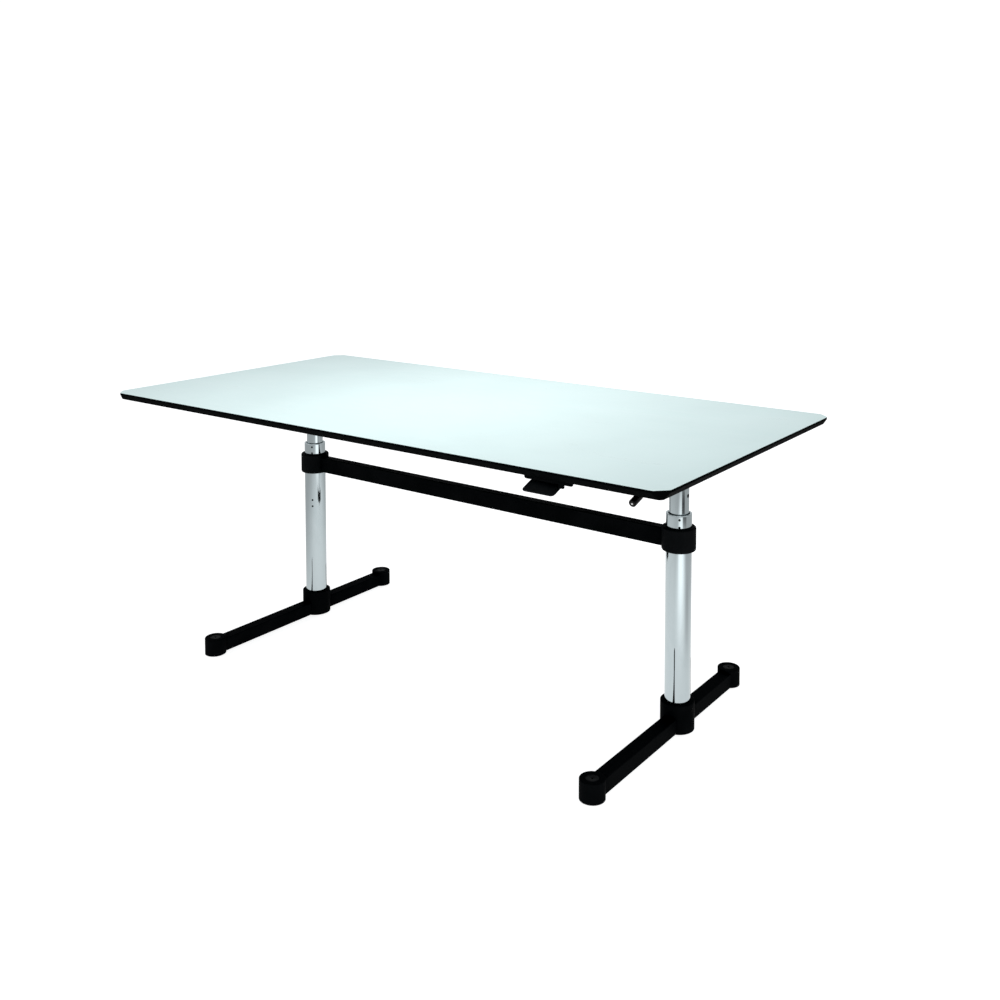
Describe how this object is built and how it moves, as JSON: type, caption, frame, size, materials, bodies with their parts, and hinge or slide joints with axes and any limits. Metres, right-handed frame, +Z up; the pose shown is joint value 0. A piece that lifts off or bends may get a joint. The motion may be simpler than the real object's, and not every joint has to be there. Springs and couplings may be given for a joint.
{
  "type": "drafting table",
  "caption": "Drafting table: pale laminate worktop with black edge on two chrome telescopic columns, black T-feet, crossbar, tilting top, lift paddle and tilt clamp lever.",
  "frame": {"origin": "on the floor under the middle of the worktop", "axes": "+X to the sitter's right along the worktop, +Y away from the sitter, +Z up"},
  "size_m": [1.8, 0.9, 0.765],
  "materials": {
    "white_laminate": "pale icy white high-pressure laminate, satin gloss",
    "black_edge": "black phenolic edge and balancing sheet, satin",
    "board": "raw chipboard, hidden",
    "black_powder_coat": "fine-textured black powder coat, satin",
    "chrome": "polished chrome plate",
    "cast_aluminium": "fine-blasted die casting",
    "zinc_steel": "bright zinc plate",
    "black_oxide_steel": "black oxide, oiled",
    "black_plastic": "moulded, fine spark texture",
    "grey_plastic": "moulded, matt dark grey",
    "guide_plastic": "self-lubricating black polymer",
    "bronze": "sintered bronze and turned brass",
    "spring_cylinder": "black lacquered gas spring body",
    "polished_rod": "ground and hard-chromed rod"
  },
  "bodies": {
    "base": {"clamp_grub_screws": "black_oxide_steel", "collar_left": "black_powder_coat", "collar_right": "black_powder_coat", "crossbar": "black_powder_coat", "crossbar_bolts": "black_oxide_steel", "foot_cap_front_left": "grey_plastic", "foot_cap_front_right": "grey_plastic", "foot_cap_rear_left": "grey_plastic", "foot_cap_rear_right": "grey_plastic", "foot_left": "black_powder_coat", "foot_right": "black_powder_coat", "guide_screws": "black_oxide_steel", "leveller_inserts": "bronze", "lower_guide_bushes": "guide_plastic", "outer_tube_left": "chrome", "outer_tube_right": "chrome", "piston_rods": "polished_rod", "rim_rings": "chrome", "rod_anchors": "zinc_steel", "upper_guide_bushes": "guide_plastic"},
    "worktop": {"worktop_laminate": "white_laminate", "worktop_lipping": "black_edge", "worktop_core": "board", "worktop_backing": "black_edge", "arm_left": "black_powder_coat", "arm_right": "black_powder_coat", "arm_stiffener": "black_powder_coat", "arm_screws": "zinc_steel", "pivot_bushes": "bronze", "friction_discs": "guide_plastic", "pivot_washers": "zinc_steel", "hinge_bolt": "zinc_steel", "clamp_bolt": "zinc_steel", "hinge_nut": "zinc_steel", "paddle_bracket": "black_powder_coat", "bracket_screws": "zinc_steel", "paddle_pin": "zinc_steel", "paddle_spring": "zinc_steel", "cable_gland": "zinc_steel"},
    "lift": {"inner_tube_left": "chrome", "inner_tube_right": "chrome", "column_head_left": "cast_aluminium", "column_head_right": "cast_aluminium", "gas_cylinder_left": "spring_cylinder", "gas_cylinder_right": "spring_cylinder", "pivot_pins": "zinc_steel", "head_screws": "black_oxide_steel", "stop_rings": "zinc_steel"},
    "clamp_lever": {"lever_hub": "black_oxide_steel", "lever_rod": "zinc_steel", "lever_grip": "black_plastic"},
    "paddle": {"release_paddle": "black_powder_coat"},
    "leveller_front_left": {"leveller_stud_front_left": "zinc_steel", "leveller_pad_front_left": "black_plastic"},
    "leveller_front_right": {"leveller_stud_front_right": "zinc_steel", "leveller_pad_front_right": "black_plastic"},
    "leveller_rear_left": {"leveller_stud_rear_left": "zinc_steel", "leveller_pad_rear_left": "black_plastic"},
    "leveller_rear_right": {"leveller_stud_rear_right": "zinc_steel", "leveller_pad_rear_right": "black_plastic"}
  },
  "joints": [
    {"name": "column_lift", "type": "slide", "parent": "base", "child": "lift", "axis": [0, 0, 1], "range_m": [-0.08, 0.235]},
    {"name": "worktop_tilt", "type": "hinge", "parent": "lift", "child": "worktop", "pos_m": [0, 0.094, 0.715], "axis": [1, 0, 0], "range_deg": [0, 30]},
    {"name": "clamp_lever_swing", "type": "hinge", "parent": "worktop", "child": "clamp_lever", "pos_m": [0.704, 0.094, 0.715], "axis": [1, 0, 0], "range_deg": [0, 25]},
    {"name": "paddle_squeeze", "type": "hinge", "parent": "worktop", "child": "paddle", "pos_m": [0.587, -0.376, 0.731], "axis": [-1, 0, 0], "range_deg": [0, 11], "stiffness_Nm_per_rad": 1, "springref_deg": -8.59},
    {"name": "leveller_front_left_screw", "type": "slide", "parent": "base", "child": "leveller_front_left", "axis": [0, 0, -1], "range_m": [0, 0.01]},
    {"name": "leveller_front_right_screw", "type": "slide", "parent": "base", "child": "leveller_front_right", "axis": [0, 0, -1], "range_m": [0, 0.01]},
    {"name": "leveller_rear_left_screw", "type": "slide", "parent": "base", "child": "leveller_rear_left", "axis": [0, 0, -1], "range_m": [0, 0.01]},
    {"name": "leveller_rear_right_screw", "type": "slide", "parent": "base", "child": "leveller_rear_right", "axis": [0, 0, -1], "range_m": [0, 0.01]}
  ]
}
